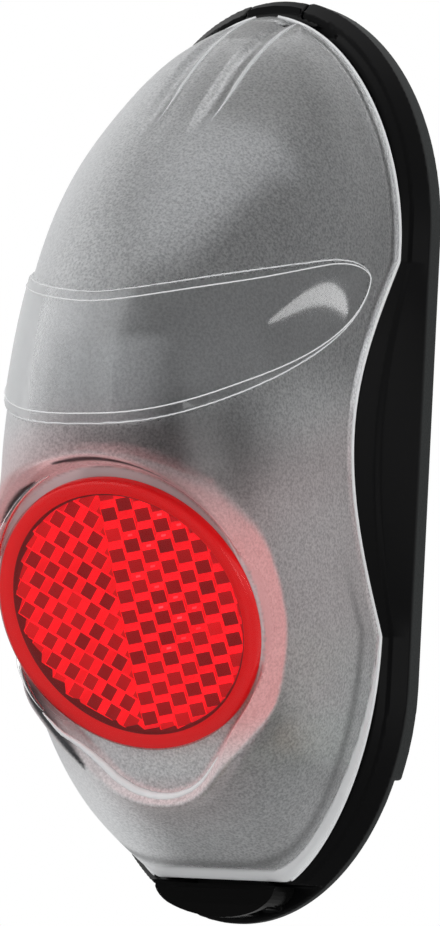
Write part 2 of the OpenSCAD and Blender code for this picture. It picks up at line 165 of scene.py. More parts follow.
def band_edges(angle):
    """Heights of the smooth band's lower and upper edge at an angle across the dome."""
    a = np.abs(angle)
    low = BAND_TIP - BAND_DROP * (1 - np.clip(a / BAND_ANGLE, 0, 1) ** 1.8) ** (1 / 1.8)
    up = 12.6 + 6 * (a / 68) ** 1.35 - 2.85 * (1 - np.sqrt(1 - np.clip((a - 64) / 15, 0, 1) ** 2))
    return low, up


def section_length(angle):
    """Length along the dome's section at the band's height, from the middle line to an angle, in mm."""
    steps = np.radians(np.linspace(0, 90, 721))
    n = dome_power(8.0)
    x = LENS_W * np.sin(steps) ** (2 / n)
    d = dome_depth(np.array(8.0)) * np.maximum(np.cos(steps), 0) ** (2 / n)
    length = np.concatenate([[0], np.cumsum(np.hypot(np.diff(x), np.diff(d)))])
    return np.interp(angle, np.degrees(steps), length)


class BandTable:
    """Distance in mm from the smooth band's outline, below 0 inside it, tabled by angle and height."""

    def __init__(self):
        self.angles = np.linspace(0, 90, 181)
        self.heights = np.arange(-6, 24, 0.125)
        edge = BAND_ANGLE * np.sin(np.linspace(0, math.pi / 2, 260))
        low, up = band_edges(edge)
        line_s = np.concatenate([section_length(edge)] * 2)
        line_z = np.concatenate([low, up])
        s, z = np.meshgrid(section_length(self.angles), self.heights, indexing="ij")
        reach = np.full(s.shape, 1e9)
        for px, pz in zip(line_s, line_z):
            reach = np.minimum(reach, (s - px) ** 2 + (z - pz) ** 2)
        low, up = band_edges(self.angles)
        inside = (z > low[:, None]) & (z < up[:, None]) & (self.angles < BAND_ANGLE)[:, None]
        self.table = np.sqrt(reach) * np.where(inside, -1, 1)

    def __call__(self, angle, z):
        i = np.clip(angle / 0.5, 0, len(self.angles) - 1.001)
        j = np.clip((z - self.heights[0]) / 0.125, 0, len(self.heights) - 1.001)
        i0, j0 = i.astype(int), j.astype(int)
        u, v = i - i0, j - j0
        t = self.table
        return (
            t[i0, j0] * (1 - u) * (1 - v)
            + t[i0 + 1, j0] * u * (1 - v)
            + t[i0, j0 + 1] * (1 - u) * v
            + t[i0 + 1, j0 + 1] * u * v
        )


band_distance = BandTable()


def reflector_axes(x, d, z):
    """Across, up and out of the reflector's face, in mm from its middle."""
    s, c = math.sin(REFL_TILT), math.cos(REFL_TILT)
    up = (d - REFL_D) * s + (z - REFL_Z) * c
    out = (d - REFL_D) * c - (z - REFL_Z) * s
    return x, up, out


def from_reflector(across, up, out):
    """The point (x, d, z) at a place across, up and out of the reflector's face, in mm."""
    s, c = math.sin(REFL_TILT), math.cos(REFL_TILT)
    return across, REFL_D + up * s + out * c, REFL_Z + up * c - out * s


def floor_distance(x, up, grow):
    """Distance from the outline of the floor around the reflector, below 0 inside."""
    side = np.abs(x)
    down = -np.where(up > 0, FLOOR_RISE * up, up)
    lean = (FLOOR_R - END_R) / END_DROP
    level = math.sqrt(1 - lean**2)
    along = level * down - lean * side
    big = np.hypot(side, down) - FLOOR_R
    small = np.hypot(side, down - END_DROP) - END_R
    straight = level * side + lean * down - FLOOR_R
    return np.where(along < 0, big, np.where(along > level * END_DROP, small, straight)) - grow


def rim_line(z):
    """Depth of the lens's rim, which rises over the ears of the housing, at a height."""
    return RIM_D + np.where(np.abs(z) < EAR_HALF, EAR_H * np.cos(np.pi / 2 * z / EAR_HALF), 0)


def flute_distance(x, d, z):
    """Distance from the two grooves at the top, which run out towards their lower ends."""
    turn = np.degrees(np.arctan2(d - FLUTE_MID_D, z - FLUTE_MID_Z))
    lift = 0.012 * np.maximum(turn - 46, 0) ** 2
    ring = np.hypot(d - FLUTE_MID_D, z - FLUTE_MID_Z) - (FLUTE_RING + FLUTE_R - FLUTE_DEPTH) - lift
    return np.hypot(ring, np.abs(x) - FLUTE_X) - FLUTE_R


def collar_distance(x, up, out):
    """Distance from the collar around the floor, whose lip is high above and below, not at the sides."""
    lip = smooth_step(np.abs(up), 5, 11)
    top = FLOOR_Q + LIP_RISE * lip
    side = floor_distance(x, up, LIP_T * lip) - LIP_DRAFT * np.clip(top - out, 0, 5)
    return smooth_max(side, out - top, 0.4)


def pocket_distance(x, up, out):
    """Distance from the hollow over the floor, whose side slopes at the top and the bottom."""
    draft = 0.2 + 0.6 * smooth_step(up, 3, 11) + 0.4 * smooth_step(-up, 12, 18)
    side = floor_distance(x, up, 0) - draft * np.clip(out - FLOOR_Q, 0, 5)
    return smooth_max(side / np.sqrt(1 + draft**2), FLOOR_Q - out, 0.5)


def lens_surface(x, d, z):
    """Distance field of the lens's outside, and the dome's own distance."""
    dome = dome_distance(x, d, z)
    band = band_distance(dome_angle(x, d, z), z)
    outer = dome - BAND_H * smooth_step(-band, -0.12, 0.12)
    outer = smooth_max(outer, -flute_distance(x, d, z), 0.3)
    rx, up, out = reflector_axes(x, d, z)
    fillet = 0.6 + 2.6 * smooth_step(np.abs(up), 3, 10)
    outer = smooth_min(outer, collar_distance(rx, up, out), fillet)
    return smooth_max(outer, -pocket_distance(rx, up, out), 0.35), dome


def lens_field(points):
    """Distance field of the whole lens, below 0 in its plastic."""
    x, d, z = points.T
    outer, dome = lens_surface(x, d, z)
    rx, up, out = reflector_axes(x, d, z)
    under_floor = np.maximum(floor_distance(rx, up, 1.6), FLOOR_Q - LENS_WALL - out)
    hollow = smooth_max(dome + LENS_WALL, -under_floor, 0.5)
    hollow = np.maximum(hollow, z - 45.2)
    hollow = np.maximum(hollow, LENS_LOW + LENS_WALL - z)
    lug_block = np.maximum(np.abs(x) - 4, 43 - z)
    hollow = np.maximum(hollow, -lug_block)
    prism_hole = np.maximum(np.hypot(rx, up) - 13.6, np.abs(out + 4) - 4)
    lug_slot = np.maximum(np.maximum(np.abs(x) - 3.25, d - 4.45), np.abs(z - 45) - 0.85)
    field = np.maximum(outer, -hollow)
    field = smooth_max(field, rim_line(z) - d, 0.25)
    field = smooth_max(field, LENS_LOW - z, 0.25)
    return np.maximum(np.maximum(field, -prism_hole), -lug_slot)


def gradient(field, points, e=0.02):
    steps = np.eye(3) * e
    return np.stack([(field(points + s) - field(points - s)) / (2 * e) for s in steps], -1)


def surface_nets(field, low, high, step):
    """Quads over the zero level of a field, pulled exactly onto it: points and faces."""
    axes = [np.arange(a, b + step, step) for a, b in zip(low, high)]
    grid = np.stack(np.meshgrid(*axes, indexing="ij"), -1)
    shape = grid.shape[:3]
    values = np.concatenate([field(slab.reshape(-1, 3)) for slab in grid]).reshape(shape)
    inside = values < 0
    cells = tuple(n - 1 for n in shape)
    total = np.zeros(cells + (3,))
    count = np.zeros(cells)
    corners = [(i, j, k) for i in (0, 1) for j in (0, 1) for k in (0, 1)]

    def window(corner):
        return tuple(slice(o, o + n) for o, n in zip(corner, cells))

    for a in corners:
        for axis in range(3):
            if a[axis]:
                continue
            b = tuple(o + (i == axis) for i, o in enumerate(a))
            va, vb = values[window(a)], values[window(b)]
            crosses = (va < 0) != (vb < 0)
            t = np.where(crosses, va / np.where(crosses, va - vb, 1), 0)
            spot = grid[window(a)] + t[..., None] * (grid[window(b)] - grid[window(a)])
            total += np.where(crosses[..., None], spot, 0)
            count += crosses
    active = count > 0
    number = np.full(cells, -1)
    number[active] = np.arange(active.sum())
    points = total[active] / count[active][:, None]
    faces = []
    for axis in range(3):
        u, v = (axis + 1) % 3, (axis + 2) % 3
        size = list(shape)
        size[axis] -= 1
        first = [slice(1, -1)] * 3
        first[axis] = slice(0, size[axis])
        second = list(first)
        second[axis] = slice(1, size[axis] + 1)
        a, b = inside[tuple(first)], inside[tuple(second)]
        spots = np.argwhere(a != b)
        spots[:, u] += 1
        spots[:, v] += 1
        around = []
        for du, dv in ((1, 1), (0, 1), (0, 0), (1, 0)):
            c = spots.copy()
            c[:, u] -= du
            c[:, v] -= dv
            around.append(number[tuple(c.T)])
        quads = np.stack(around, -1)
        # The row frame mirrors d, so faces run the other way round here
        flip = inside[tuple(spots.T)]
        quads[flip] = quads[flip][:, ::-1]
        faces.append(quads)
    for _ in range(3):
        slope = gradient(field, points)
        size = np.maximum((slope**2).sum(-1), 0.1)
        move = -(field(points) / size)[:, None] * slope
        points = points + np.clip(move, -step, step)
    return points, np.concatenate(faces)


def mesh_piece(name, points, faces, smooth=True):
    """A mesh object from row-frame points in metres."""
    mesh = bpy.data.meshes.new(name)
    mesh.from_pydata([tuple(p) for p in points], [], [tuple(int(i) for i in f) for f in faces])
    mesh.polygons.foreach_set("use_smooth", [smooth] * len(mesh.polygons))
    mesh.update()
    piece = bpy.data.objects.new(name, mesh)
    scene.collection.objects.link(piece)
    return piece


def field_piece(name, field, low, high, step):
    """A smooth mesh over a distance field, and its points in mm."""
    points, faces = surface_nets(field, low, high, step)
    piece = mesh_piece(name, placed(points), faces)
    normals = gradient(field, points)
    normals /= np.maximum(np.linalg.norm(normals, axis=-1, keepdims=True), 1e-6)
    piece.data.normals_split_custom_set_from_vertices([tuple(n) for n in normals * (1, -1, 1)])
    return piece, points


def ring_faces(rings, count):
    """Quads between closed rings of points, one after another, of count points each."""
    return [
        (i * count + k, i * count + (k + 1) % count, (i + 1) * count + (k + 1) % count, (i + 1) * count + k)
        for i in range(rings - 1)
        for k in range(count)
    ]


def add_attribute(piece, name, values):
    layer = piece.data.attributes.new(name, "FLOAT", "POINT")
    layer.data.foreach_set("value", np.asarray(values, np.float32))


# Materials

PLASTIC_IOR = 1.49


class Look:
    """A node material, or the world's nodes, put together a line at a time."""

    def __init__(self, name, world=False):
        self.owner = (bpy.data.worlds if world else bpy.data.materials).new(name)
        self.owner.use_nodes = True
        self.tree = self.owner.node_tree
        self.tree.nodes.clear()
        self.output = self.tree.nodes.new("ShaderNodeOutput" + ("World" if world else "Material"))

    def node(self, kind, inputs=None, **settings):
        made = self.tree.nodes.new("ShaderNode" + kind)
        for key, value in settings.items():
            setattr(made, key, value)
        for key, value in (inputs or {}).items():
            self.put(made.inputs[key], value)
        return made

    def put(self, socket, value):
        if isinstance(value, bpy.types.NodeSocket):
            self.tree.links.new(value, socket)
        else:
            socket.default_value = value

    def principled(self, **inputs):
        return self.node("BsdfPrincipled", {k.replace("_", " "): v for k, v in inputs.items()})

    def math(self, operation, *values):
        return self.node("Math", dict(enumerate(values)), operation=operation).outputs[0]

    def attribute(self, name):
        return self.node("Attribute", attribute_name=name).outputs["Fac"]

    def place(self):
        """Across, back and up in the row frame, in metres."""
        return self.node("SeparateXYZ", {0: self.node("TexCoord").outputs["Object"]}).outputs

    def clear(self, colour):
        return self.node("BsdfTransparent", {"Color": (*colour, 1)})

    def noise(self, per_mm, detail=2.0, rough=0.5):
        spot = self.node("TexCoord").outputs["Object"]
        return self.node(
            "TexNoise", {"Vector": spot, "Scale": per_mm / MM, "Detail": detail, "Roughness": rough}
        ).outputs["Fac"]

    def ramp(self, fac, low, high, from_low=0.3, from_high=0.7):
        made = self.node("MapRange", {"Value": fac, "From Min": from_low, "From Max": from_high,
                                      "To Min": low, "To Max": high})  # fmt: skip
        return made.outputs["Result"]

    def blend(self, fac, first, second):
        made = self.node("Mix", data_type="RGBA")
        colours = [s for s in made.inputs if s.type == "RGBA"]
        self.put(made.inputs[0], fac)
        self.put(colours[0], first)
        self.put(colours[1], second)
        return next(s for s in made.outputs if s.type == "RGBA")

    def tint(self, fac, dark, light):
        return self.blend(fac, (*dark, 1), (*light, 1))

    def bump(self, height, mm, strength=1.0):
        made = self.node("Bump", {"Height": height, "Strength": strength, "Distance": mm * MM})
        return made.outputs["Normal"]

    def mix(self, share, first, second):
        return self.node("MixShader", {0: share, 1: first.outputs[0], 2: second.outputs[0]})

    def done(self, shader):
        self.put(self.output.inputs["Surface"], shader.outputs[0])
        return self.owner


def moulded(name, dark, light, rough, grain_mm=0.25, bump_mm=0.01, gloss=0.5):
    """Moulded plastic with a fine etched grain."""
    look = Look(name)
    grain = look.noise(1 / grain_mm, 3)
    patches = look.noise(0.06, 2)
    shader = look.principled(
        Base_Color=look.tint(look.ramp(patches, 0, 1), dark, light),
        Roughness=look.ramp(grain, rough - 0.06, rough + 0.06),
        Normal=look.bump(grain, bump_mm),
        Specular_IOR_Level=gloss,
    )
    return look.done(shader)


def metal(name, colour, rough):
    """Plated metal with fine marks."""
    look = Look(name)
    marks = look.noise(1.2, 4)
    darker = tuple(0.8 * c for c in colour)
    shader = look.principled(
        Base_Color=look.tint(look.ramp(marks, 0, 1), darker, colour),
        Metallic=1.0,
        Roughness=look.ramp(marks, rough - 0.08, rough + 0.08),
    )
    return look.done(shader)


def lens_look():
    """Clear plastic that its attributes frost, darken with painted shade and make milky, partly as painted
    light, with a painted red glow of the reflector's light in its colour.
    """
    look = Look("lens_clear")
    frost, glow, haze_and_painted_light = (look.attribute(name) for name in ("frost", "glow", "haze_and_painted_light"))
    grain, dim = (look.attribute(name) for name in ("grain", "dim"))
    speck = look.ramp(look.noise(3.6, 2, 0.6), -0.4, 0.4, 0.35, 0.65)
    value = look.math("MULTIPLY_ADD", speck, grain, 0.5)
    frosted = look.tint(value, (0.3, 0.305, 0.315), (1.0, 1.0, 1.0))
    rosy = look.tint(value, (0.5, 0.24, 0.25), (1.0, 0.62, 0.63))
    # glow blends in the painted red glow of the reflector's light; dim darkens the colour as painted shade
    colour = look.blend(glow, look.blend(frost, (0.82, 0.83, 0.84, 1), frosted), rosy)
    colour = look.blend(dim, colour, (0.05, 0.05, 0.053, 1))
    normal = look.bump(value, 0.04, 0.5)
    clear = look.principled(
        Base_Color=colour,
        Roughness=look.ramp(frost, 0.03, 0.3, 0, 1),
        Normal=normal,
        Transmission_Weight=1.0,
        IOR=PLASTIC_IOR,
    )
    pale = look.tint(value, (0.58, 0.59, 0.6), (0.92, 0.93, 0.94))
    pink = look.tint(value, (0.7, 0.32, 0.32), (0.88, 0.46, 0.46))
    # The haze turns pink with the painted glow and near black with the painted shade
    hazy = look.blend(dim, look.blend(glow, pale, pink), (0.03, 0.03, 0.033, 1))
    haze = look.node("BsdfDiffuse", {"Color": hazy, "Normal": normal})
    # The haze share is partly painted light: more haze makes the left, the lower sides and the rim strip
    # lighter
    share = look.math("MULTIPLY_ADD", look.math("MULTIPLY", value, frost), 0.1, haze_and_painted_light)
    shadow = look.node("LightPath").outputs["Is Shadow Ray"]
    return look.done(look.mix(shadow, look.mix(share, clear, haze), look.clear((0.8, 0.81, 0.82))))


def reflector_cover_look():
    """Clear red cover of the reflector: tinted, with a polished front."""
    look = Look("reflector_cover")
    waves = look.noise(0.25, 1)
    normal = look.bump(waves, 0.02, 0.3)
    gloss = look.node("BsdfGlossy", {"Color": (1, 1, 1, 1), "Roughness": 0.04, "Normal": normal})
    edge = look.node("Fresnel", {"IOR": 1.3, "Normal": normal}).outputs[0]
    return look.done(look.mix(edge, look.clear((1.0, 0.5, 0.5)), gloss))


def facet_look(name, dark, light, rough, painted_return_glow):
    """One family of prism facets, a little different from facet to facet, its shading painted into its red
    and lit by a painted glow for the light it returns.
    """
    look = Look(name)
    colour = look.tint(look.attribute("shade"), dark, light)
    shader = look.principled(
        Base_Color=colour,
        Roughness=rough,
        Emission_Color=colour,
        Specular_IOR_Level=0.3,
        Emission_Strength=painted_return_glow,
    )
    return look.done(shader)


# Lens

STEP = 0.34
lens, lens_points = field_piece("lens_shell", lens_field, (-18.9, 1.9, -47.3), (18.9, 39.3, 48.1), STEP)


class Spots:
    """Points of the lens, and where each lies about its outside, band, rim and the reflector's floor."""

    def __init__(self, points):
        self.x, self.d, self.z = points.T
        outer, dome = lens_surface(self.x, self.d, self.z)
        self.outside = np.abs(outer) < 0.4
        self.across, self.up, self.out = reflector_axes(self.x, self.d, self.z)
        self.reach = floor_distance(self.across, self.up, 0)
        self.band = band_distance(dome_angle(self.x, self.d, self.z), self.z)
        self.over_rim = self.d - rim_line(self.z)


def polished_of(at):
    """1 on the polished strip along the rim, wider below, and at the foot of the lens, 0 away from them."""
    width = 0.1 + 2.7 * smooth_step(-at.z, 12, 44)
    rim = 1 - smooth_step(at.over_rim, width - 0.2, width + 0.2)
    return np.maximum(rim, 1 - smooth_step(at.z - LENS_LOW, 0.9, 1.4))


def frost_of(at):
    """1 where the lens is frosted, 0 on its smooth band, clear floor and polished rim."""
    off_band = smooth_step(at.band, -0.1, 0.25)
    on_floor = smooth_step(0.1 - at.reach, -0.2, 0.1)
    plain = 1 - on_floor * smooth_step(at.up, -13, -10)
    return np.where(at.outside, off_band * (1 - polished_of(at)) * plain, 1 - 0.7 * off_band)


def grain_of(at):
    """Strength of the grain: full on the frosted outside, least on the left and inside."""
    right = 1 - 0.65 * smooth_step(-at.x, 2, 12)
    return np.where(at.outside, right * frost_of(at), 0.6 - 0.35 * smooth_step(at.band, -0.1, 0.25))


# Width of the collar that carries the painted red glow, by the turn about the reflector's axis in degrees,
# from below to above
GLOW_TURNS = (-90, -70, -50, -35, -20, 0, 15, 30, 50, 70, 90)
GLOW_WIDTHS = (1.2, 1.4, 2.3, 2.7, 2.2, 1.9, 2.1, 2.9, 3.0, 2.6, 2.4)


def collar_of(at):
    """1 on the collar around the reflector and on the side of its hollow, 0 away from them."""
    along = at.reach + 0.35 * np.maximum(FLOOR_Q - at.out, 0)
    width = np.interp(np.degrees(np.arctan2(at.up, np.abs(at.across))), GLOW_TURNS, GLOW_WIDTHS)
    soft = 0.25 + 0.6 * smooth_step(at.up, 5, 12)
    return smooth_step(along, -0.25, 0.05) * (1 - smooth_step(along - width, -soft, soft))


def painted_glow_of(at):
    """Painted red glow of the reflector's light in the lens's colour: full on the collar around its floor,
    faint near it.
    """
    near = 0.16 + 0.2 * smooth_step(at.up, 4, 14)
    near = near * smooth_step(at.reach, -0.5, 0.5) * (1 - smooth_step(at.reach, 1.5, 8))
    floor = 0.3 * smooth_step(-at.reach, -0.2, 0.3) * smooth_step(np.abs(at.up + 16), 2, 6)
    collar = (0.3 + 0.7 * smooth_step(at.up, -17, -10)) * (1 - 0.2 * smooth_step(at.up, 7, 14))
    away = 1 - 0.8 * smooth_step(-at.x, 1, 9) * smooth_step(-at.up, 2, 9)
    return np.max([collar * collar_of(at) * away, near * away, floor], axis=0)


def haze_and_painted_light_of(at):
    """Share of light that the lens scatters back as pale haze: most on its collar, floor, left and rim; the
    extra haze on the left, the lower sides and the rim strip is painted light, lighter where the light
    falls.
    """
    collar = 0.75 * (1 - 0.85 * smooth_step(-at.x, 5, 11)) * (1 - 0.3 * smooth_step(at.up, 6, 12))
    floor = 0.5 * smooth_step(-at.reach, -0.2, 0.3)
    side = 0.26 * smooth_step(np.abs(at.x), 13, 16.5) * (1 - smooth_step(at.z, -2, 10))
    left = 0.55 * smooth_step(-at.x, 0, 13)
    low = (0.2 + 0.65 * smooth_step(-at.x, 0, 10)) * smooth_step(-at.z, 24, 40)
    most = np.max([collar * collar_of(at), floor, side, left, low, 0.72 * polished_of(at)], axis=0)
    return np.where(at.outside, most, 0)


# Painted dark streaks on the clear collar, standing in for its refraction: turns about the reflector's axis,
# distances from the floor, half widths
PAINTED_STREAKS = (
    ((62, 75, 88, 98, 106), (1.0, 1.15, 1.3, 1.35, 1.5), (0.1, 0.3, 0.42, 0.38, 0.1)),
    ((118, 124, 132, 142), (0.6, 0.6, 0.55, 0.5), (0.1, 0.4, 0.4, 0.15)),
    ((204, 214, 226, 236, 245), (0.3, 0.5, 0.8, 1.1, 1.5), (0.15, 0.45, 0.6, 0.6, 0.2)),
)


def painted_streak_of(at):
    """1 on the painted dark streaks of the collar, 0 away from them."""
    turn = np.degrees(np.arctan2(at.up, at.across)) % 360
    dark = np.zeros(len(turn))
    for turns, middles, halves in PAINTED_STREAKS:
        off = np.abs(at.reach - np.interp(turn, turns, middles)) / np.interp(turn, turns, halves)
        within = (turn > turns[0]) & (turn < turns[-1])
        dark = np.maximum(dark, within * (1 - smooth_step(off, 0.5, 1.4)))
    return dark


def painted_shade_of(at):
    """Painted shade on the lens: below the band on the right, a little on it, a dark line by the rim, and
    the streaks.
    """
    below = 0.72 * (1 - smooth_step(np.hypot((at.x - 11) / 7, (at.z + 2.5) / 8), 0.1, 1.2))
    band = 0.2 * smooth_step(-at.band, 0, 1) * smooth_step(at.x, 3, 8)
    line = 0.5 * np.exp(-(((at.over_rim - 4.4) / 0.8) ** 2)) * smooth_step(-at.z, 10, 20)
    return np.where(at.outside, np.max([below, band, line, painted_streak_of(at)], axis=0), 0)


spots = Spots(lens_points)
amounts = {"dim": painted_shade_of, "frost": frost_of, "glow": painted_glow_of, "haze_and_painted_light": haze_and_painted_light_of, "grain": grain_of}
for name, amount in amounts.items():
    add_attribute(lens, name, amount(spots))
lens.data.materials.append(lens_look())
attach(lens, "lens_cover")
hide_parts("lens")


def dome_point(z, angle, out):
    """Point of the dome at a height and an angle across it in degrees, moved out by a distance."""
    n = dome_power(z)
    a = np.radians(angle)
    x = np.sign(a) * (dome_width(z) + out) * np.abs(np.sin(a)) ** (2 / n)
    return np.stack([x, (dome_depth(z) + out) * np.maximum(np.cos(a), 0) ** (2 / n), z], -1)


def bead(name, path, radius):
    """A thin bead along a path of points in mm, for painted highlight lines and the clear edge; its radius
    may change along it.
    """
    sides = 8
    path = np.asarray(path)
    radius = np.broadcast_to(radius, len(path))[:, None]
    ahead = np.gradient(path, axis=0)
    ahead /= np.linalg.norm(ahead, axis=-1, keepdims=True)
    first = np.cross(ahead, (0.0, 1.0, 0.2))
    first /= np.linalg.norm(first, axis=-1, keepdims=True)
    second = np.cross(ahead, first)
    turns = [2 * math.pi * k / sides for k in range(sides)]
    rings = np.stack([path + radius * (first * math.cos(t) + second * math.sin(t)) for t in turns], 1)
    last = sides * (len(path) - 1)
    ends = [tuple(range(sides))[::-1], tuple(range(last, last + sides))]
    faces = ring_faces(len(path), sides) + ends
    return mesh_piece(name, placed(rings.reshape(-1, 3)), faces)


def highlight_bead_look(name, share):
    """Painted highlight on an edge of clear plastic: a whitish surface, and partly clear."""
    look = Look(name)
    marks = look.noise(0.8, 2)
    colour = look.tint(marks, (0.78, 0.79, 0.8), (0.92, 0.93, 0.94))
    bright = look.principled(Base_Color=colour, Roughness=look.ramp(marks, 0.1, 0.2))
    return look.done(look.mix(share, look.clear((0.95, 0.95, 0.95)), bright))


def flute_edge(side):
    """Right-hand edge of one flute, for its painted highlight line: side is 1 for the right flute and -1 for
    the left one.
    """
    path = []
    for turn in np.radians(np.linspace(22.5, 54, 48)):
        way = np.array([0.0, math.sin(turn), math.cos(turn)])
        start = np.array([0.0, FLUTE_MID_D, FLUTE_MID_Z])
        reach = np.linspace(40, 48, 400)
        for x in FLUTE_X + side * np.linspace(0, FLUTE_R, 60):
            ray = start + reach[:, None] * way + np.array([x, 0.0, 0.0])
            level = dome_distance(*ray.T)
            spot = ray[np.argmax(level > 0)]
            if flute_distance(*spot[:, None])[0] > 0:
                if x != FLUTE_X:
                    path.append(spot * (side, 1, 1) - (0, FLUTE_SINK, FLUTE_SINK))
                break
    return path


highlight_look = highlight_bead_look("painted_highlight_edge", 0.8)
soft_highlight_look = highlight_bead_look("painted_soft_highlight", 0.4)


def band_loop(inset, tip_inset):
    """Closed line (angle, height) inside the band's outline at a distance, and at another by its tips."""
    upper, lower = [], []
    for angle in BAND_ANGLE * np.sin(np.linspace(0, math.pi / 2, 160)):
        heights = np.linspace(-3, 21, 1200)
        share = smooth_step(angle, 40, BAND_ANGLE)
        reach = inset + (tip_inset - inset) * share
        inside = heights[band_distance(np.full(1200, angle), heights) < -reach]
        if len(inside):
            upper.append((angle, inside[-1]))
            lower.append((angle, inside[0]))
    right = upper + lower[::-1]
    return np.array(right + [(-a, z) for a, z in right[::-1]])


up_rim = np.linspace(47.0, LENS_LOW + 0.3, 320)
rim_depth = rim_line(up_rim) + 0.25
rim_power = dome_power(up_rim)
rim_share = np.maximum(1 - (rim_depth / dome_depth(up_rim)) ** rim_power, 1e-4) ** (1 / rim_power)
rim_across = dome_width(up_rim) * rim_share
# Whitish beads: painted highlight lines along the band's edges and the lens's rim
edges = [
    bead("band_edge", dome_point(*band_loop(0.02, 0.02).T[::-1], 0.24), 0.09),
    bead("band_bevel", dome_point(*band_loop(1.0, 0.3).T[::-1], BAND_H), 0.08),
    bead("rim_right", np.stack([rim_across, rim_depth, up_rim], -1), 0.22),
    bead("rim_left", np.stack([-rim_across, rim_depth, up_rim], -1), 0.22),
]
flute_edges = []
for name, side in (("flute_edge_right", 1), ("flute_edge_left", -1)):
    flute_path = flute_edge(side)
    swell = np.interp(np.linspace(0, 1, len(flute_path)), (0, 0.2, 0.75, 1), (0.1, 0.3, 0.3, 0.05))
    flute_edges.append(bead(name, flute_path, swell))


def collar_line(low, high, grow):
    """Line on the lens around the floor, between two turns about the reflector's axis in degrees."""
    path = []
    reach = np.linspace(3, -8, 900)
    for turn in np.radians(np.linspace(low, high, 120)):
        radius = np.linspace(10, 24, 500)
        over = floor_distance(radius * math.cos(turn), radius * math.sin(turn), grow) > 0
        edge = radius[np.argmax(over)]
        x, d, z = from_reflector(edge * math.cos(turn), edge * math.sin(turn), reach)
        outer, dome = lens_surface(np.full(900, x), d, z)
        hit = np.argmax(outer < 0)
        path.append((x, d[hit], z[hit]))
    return path


taper = np.sin(np.linspace(0.05, math.pi - 0.05, 120))
# A painted highlight line along the lower collar
edges.append(bead("collar_low", collar_line(222, 296, 0.5), 0.05 + 0.42 * taper))
for edge in edges + flute_edges:
    edge.data.materials.append(soft_highlight_look if edge in flute_edges else highlight_look)
    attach(edge, "lens_cover")


def glass_look():
    """Clear polished plastic with faint flow marks."""
    look = Look("clear_edge")
    flow = look.noise(0.5, 2)
    shader = look.principled(
        Base_Color=look.tint(flow, (0.9, 0.9, 0.9), (0.98, 0.98, 0.98)),
        Roughness=look.ramp(flow, 0.01, 0.05),
        Transmission_Weight=1.0,
        IOR=PLASTIC_IOR,
    )
    return look.done(shader)


clear_edge = bead("collar_left", collar_line(112, 222, 0.35), 0.1 + 0.45 * taper)
clear_edge.data.materials.append(glass_look())
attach(clear_edge, "lens_cover")

# Reflector


def on_reflector(points):
    """Points (across, up, out) on the reflector, in mm, as row-frame points in metres."""
    return placed(np.stack(from_reflector(*np.asarray(points, float).T), -1))


def turned(profile, sides):
    """Points and faces of a closed profile (radius, out) turned about the reflector's axis."""
    points, faces = [], []
    rows = len(profile)
    for i in range(sides):
        a = 2 * math.pi * i / sides
        points += [(r * math.cos(a), r * math.sin(a), q) for r, q in profile]
    for i in range(sides):
        j = (i + 1) % sides
        for k in range(rows - 1):
            faces.append((i * rows + k, i * rows + k + 1, j * rows + k + 1, j * rows + k))
    return points, faces


def clipped(polygon, radius, sides=48):
    """A polygon of (across, up, out) cut back to a circle about the reflector's axis."""
    for i in range(sides):
        a = 2 * math.pi * (i + 0.5) / sides
        side = np.array([math.cos(a), math.sin(a)])
        kept = []
        for p, q in zip(polygon, polygon[1:] + polygon[:1]):
            fp, fq = side @ p[:2] - radius, side @ q[:2] - radius
            if fp <= 0:
                kept.append(p)
            if fp * fq < 0:
                kept.append(p + (q - p) * fp / (fp - fq))
        polygon = kept
        if len(polygon) < 3:
            return []
    return polygon


PRISM_PITCH = 2.3
PRISM_EDGE = PRISM_PITCH / math.sqrt(3)
PRISM_DEEP, PRISM_RISE = -2.3, 0.82
# Facets that face away from a viewer in front of the light look dark over most of their area; that dark is
# painted shade in their red
DARK_FAMILY, DARK_SHARE = 1, 0.92
# Material numbers after those of the three families in both halves
GLINT, FAINT = 6, 7
GLINT_SHARE, GLINT_CHANCE, FAINT_CHANCE, FAINT_R = 0.3, 0.55, 0.08, 12.7


def prism_facets():
    """Facets of the cube-corner field: (polygon, family, whether in the right half, which is turned)."""
    facets = []
    reach = int(PRISM_R / PRISM_PITCH) + 3
    for i in range(-reach, reach + 1):
        for j in range(-reach, reach + 1):
            middle = PRISM_PITCH * np.array([i * math.cos(math.pi / 6), 0.5 * i + j])
            if np.hypot(*middle) > PRISM_R + PRISM_PITCH:
                continue
            turn = 0 if middle[0] < -0.1 else 60
            for family in range(3):
                turns = [math.radians(turn + 120 * (family + s)) for s in (0, 1)]
                ea, eb = (
                    np.array([PRISM_EDGE * math.cos(a), PRISM_EDGE * math.sin(a), PRISM_RISE]) for a in turns
                )
                low = np.array([*middle, PRISM_DEEP])
                polygon = clipped([low, low + ea, low + ea + eb, low + eb], PRISM_R)
                if polygon:
                    facets.append((polygon, family, turn > 0))
    return facets


